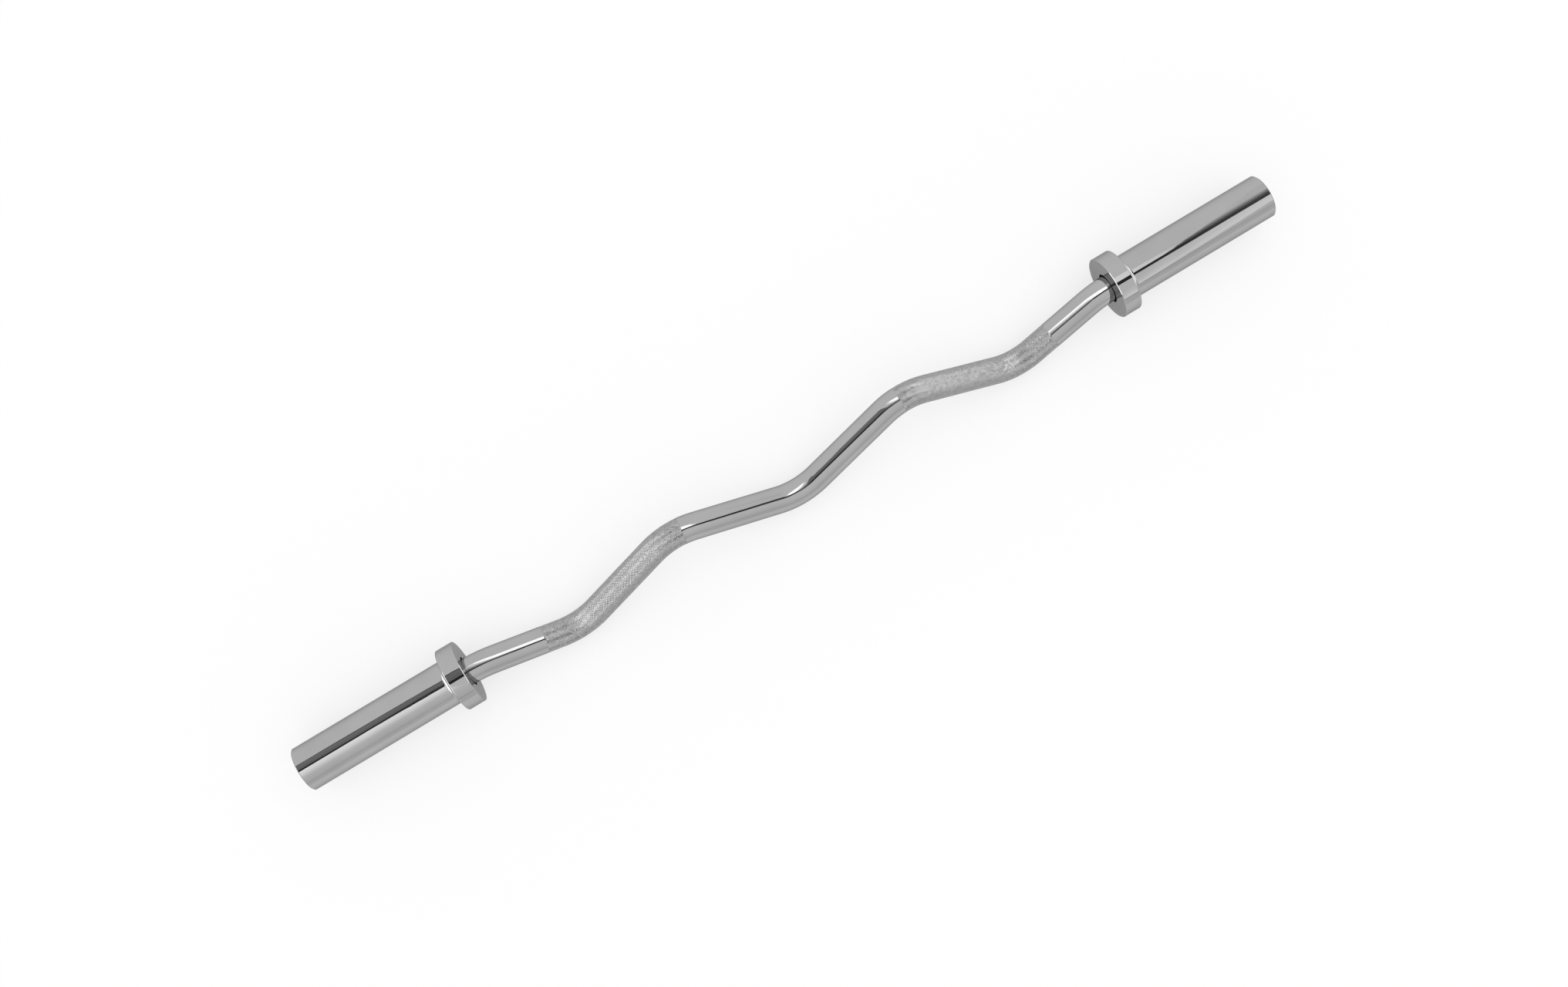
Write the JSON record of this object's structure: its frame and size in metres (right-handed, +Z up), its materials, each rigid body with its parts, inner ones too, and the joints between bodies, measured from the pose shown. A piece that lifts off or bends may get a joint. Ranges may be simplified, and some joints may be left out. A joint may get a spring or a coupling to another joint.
{
  "type": "ez curl bar",
  "caption": "W-bent barbell for arm curls, with knurled angled grips and rotating plate sleeves behind round collars, chrome plated.",
  "frame": {"origin": "the middle of the bar, on the axis that both sleeves turn about", "axes": "+X along the sleeves' axis towards the right sleeve; +Z up, with the bar lying on its collars and the two low bends of its W; the low bends lean towards -Y"},
  "size_m": [1.2, 0.072, 0.072],
  "materials": {
    "bar_chrome": "polished, knurled on the grips",
    "sleeve_chrome": "polished",
    "collar_chrome": "polished",
    "cap_chrome": "turned",
    "bronze": "oiled bearing bronze",
    "spring_steel": "black oxide",
    "seal_rubber": "matte"
  },
  "bodies": {
    "bar": {"shaft": "bar_chrome", "left_inner_washer": "bronze", "left_outer_washer": "bronze", "left_shaft_snap_ring": "spring_steel", "right_inner_washer": "bronze", "right_outer_washer": "bronze", "right_shaft_snap_ring": "spring_steel"},
    "left_rotating_sleeve": {"left_sleeve": "sleeve_chrome", "left_collar": "collar_chrome", "left_mouth_seal": "seal_rubber", "left_inner_bushing": "bronze", "left_outer_bushing": "bronze", "left_end_cap": "cap_chrome", "left_cap_snap_ring": "spring_steel"},
    "right_rotating_sleeve": {"right_sleeve": "sleeve_chrome", "right_collar": "collar_chrome", "right_mouth_seal": "seal_rubber", "right_inner_bushing": "bronze", "right_outer_bushing": "bronze", "right_end_cap": "cap_chrome", "right_cap_snap_ring": "spring_steel"}
  },
  "joints": [
    {"name": "left_sleeve_spin", "type": "hinge", "parent": "bar", "child": "left_rotating_sleeve", "pos_m": [-0.5, 0, 0], "axis": [1, 0, 0], "continuous": true},
    {"name": "right_sleeve_spin", "type": "hinge", "parent": "bar", "child": "right_rotating_sleeve", "pos_m": [0.5, 0, 0], "axis": [1, 0, 0], "continuous": true}
  ]
}
